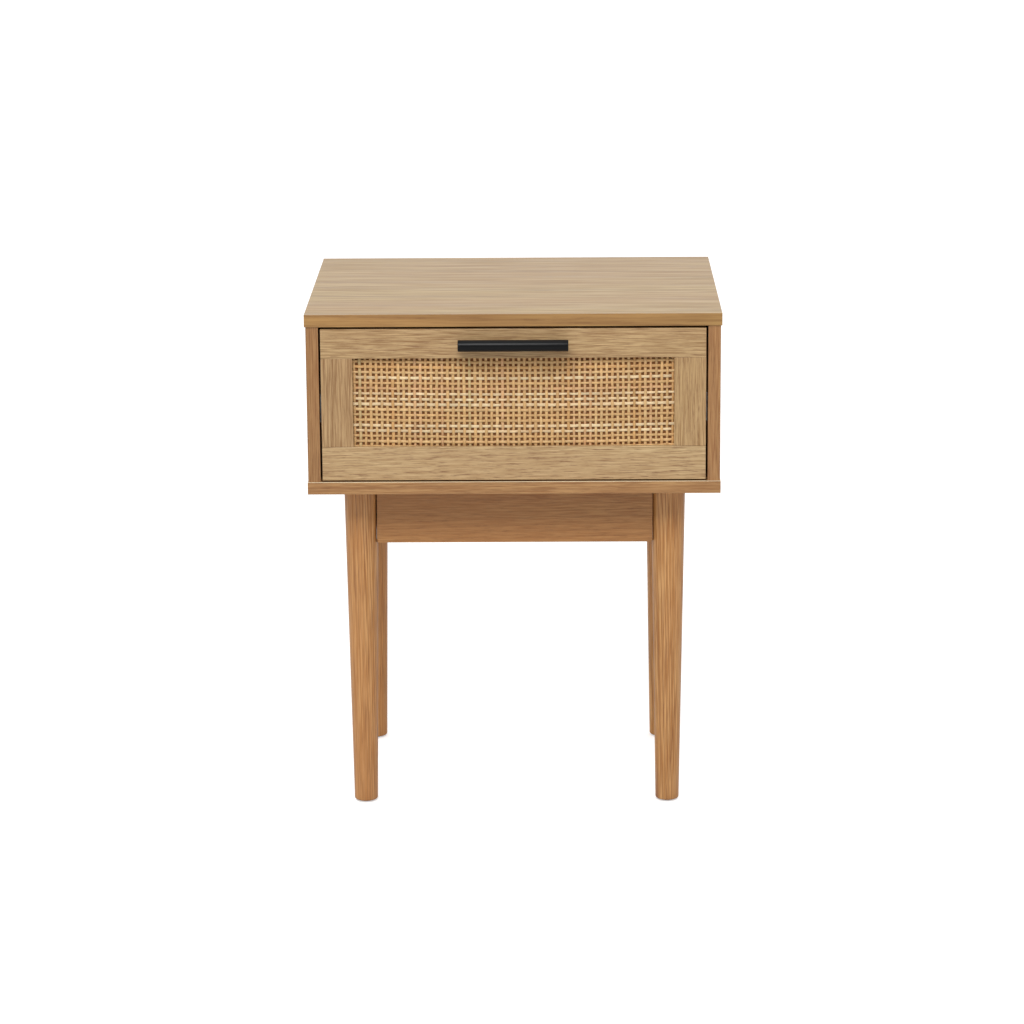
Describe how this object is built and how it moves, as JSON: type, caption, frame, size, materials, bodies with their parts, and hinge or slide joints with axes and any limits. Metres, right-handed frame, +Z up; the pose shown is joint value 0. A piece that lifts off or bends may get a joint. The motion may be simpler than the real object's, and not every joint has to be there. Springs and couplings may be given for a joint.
{
  "type": "nightstand",
  "caption": "Nightstand: rectangular oak-look case with a framed cane-front drawer on ball-bearing slides, a round black bar handle, and an apron frame with round tapered legs.",
  "frame": {"origin": "on the floor, under the middle of the whole object's box, which includes the handle", "axes": "+Z up, +X to the right as seen from in front, -Y towards the user: the drawer opens along -Y"},
  "size_m": [0.5, 0.422, 0.628],
  "materials": {
    "oak_laminate": "satin oak-grain laminate",
    "oak_drawer_front": "satin light oak veneer",
    "oak_leg": "satin lacquered oak",
    "drawer_box_board": "matt light laminate",
    "hardboard": "matt laminated hardboard",
    "dark_backing": "matt dark brown board",
    "rattan_cane": "dry natural cane, uneven in colour",
    "black_metal": "satin black powder coat",
    "zinc_steel": "bright zinc plate",
    "glide_plastic": "matt dark grey"
  },
  "bodies": {
    "cabinet": {"top_board": "oak_laminate", "bottom_board": "oak_laminate", "left_side_panel": "oak_laminate", "right_side_panel": "oak_laminate", "front_apron": "oak_laminate", "rear_apron": "oak_laminate", "left_apron": "oak_laminate", "right_apron": "oak_laminate", "back_panel": "hardboard", "front_left_leg": "oak_leg", "rear_left_leg": "oak_leg", "front_right_leg": "oak_leg", "rear_right_leg": "oak_leg", "front_left_glide": "glide_plastic", "rear_left_glide": "glide_plastic", "front_right_glide": "glide_plastic", "rear_right_glide": "glide_plastic", "front_left_corner_bracket": "zinc_steel", "rear_left_corner_bracket": "zinc_steel", "front_right_corner_bracket": "zinc_steel", "rear_right_corner_bracket": "zinc_steel", "front_left_leg_bolt": "zinc_steel", "rear_left_leg_bolt": "zinc_steel", "front_right_leg_bolt": "zinc_steel", "rear_right_leg_bolt": "zinc_steel", "front_left_cam_lock": "zinc_steel", "rear_left_cam_lock": "zinc_steel", "front_right_cam_lock": "zinc_steel", "rear_right_cam_lock": "zinc_steel", "front_left_cam_bolt": "zinc_steel", "rear_left_cam_bolt": "zinc_steel", "front_right_cam_bolt": "zinc_steel", "rear_right_cam_bolt": "zinc_steel", "front_left_case_screw": "zinc_steel", "rear_left_case_screw": "zinc_steel", "front_right_case_screw": "zinc_steel", "rear_right_case_screw": "zinc_steel", "left_cabinet_slide_rail": "zinc_steel", "right_cabinet_slide_rail": "zinc_steel"},
    "drawer": {"drawer_top_rail": "oak_drawer_front", "drawer_bottom_rail": "oak_drawer_front", "drawer_left_stile": "oak_drawer_front", "drawer_right_stile": "oak_drawer_front", "rattan_webbing": "rattan_cane", "webbing_backing_panel": "dark_backing", "drawer_box_front": "drawer_box_board", "drawer_box_left": "drawer_box_board", "drawer_box_right": "drawer_box_board", "drawer_box_back": "drawer_box_board", "drawer_box_bottom": "drawer_box_board", "handle_bar": "black_metal", "left_handle_post": "black_metal", "right_handle_post": "black_metal", "left_handle_screw": "zinc_steel", "right_handle_screw": "zinc_steel", "left_drawer_slide_rail": "zinc_steel", "right_drawer_slide_rail": "zinc_steel"},
    "left_retainer": {"left_ball_retainer": "zinc_steel"},
    "right_retainer": {"right_ball_retainer": "zinc_steel"}
  },
  "joints": [
    {"name": "drawer_slide", "type": "slide", "parent": "cabinet", "child": "drawer", "axis": [0, -1, 0], "range_m": [0, 0.2625]},
    {"name": "left_retainer_slide", "type": "slide", "parent": "cabinet", "child": "left_retainer", "axis": [0, -1, 0], "range_m": [0, 0.13125]},
    {"name": "right_retainer_slide", "type": "slide", "parent": "cabinet", "child": "right_retainer", "axis": [0, -1, 0], "range_m": [0, 0.13125]}
  ],
  "couplings": [
    {"joint": "left_retainer_slide", "follows": "drawer_slide", "ratio": 0.5},
    {"joint": "right_retainer_slide", "follows": "drawer_slide", "ratio": 0.5}
  ]
}
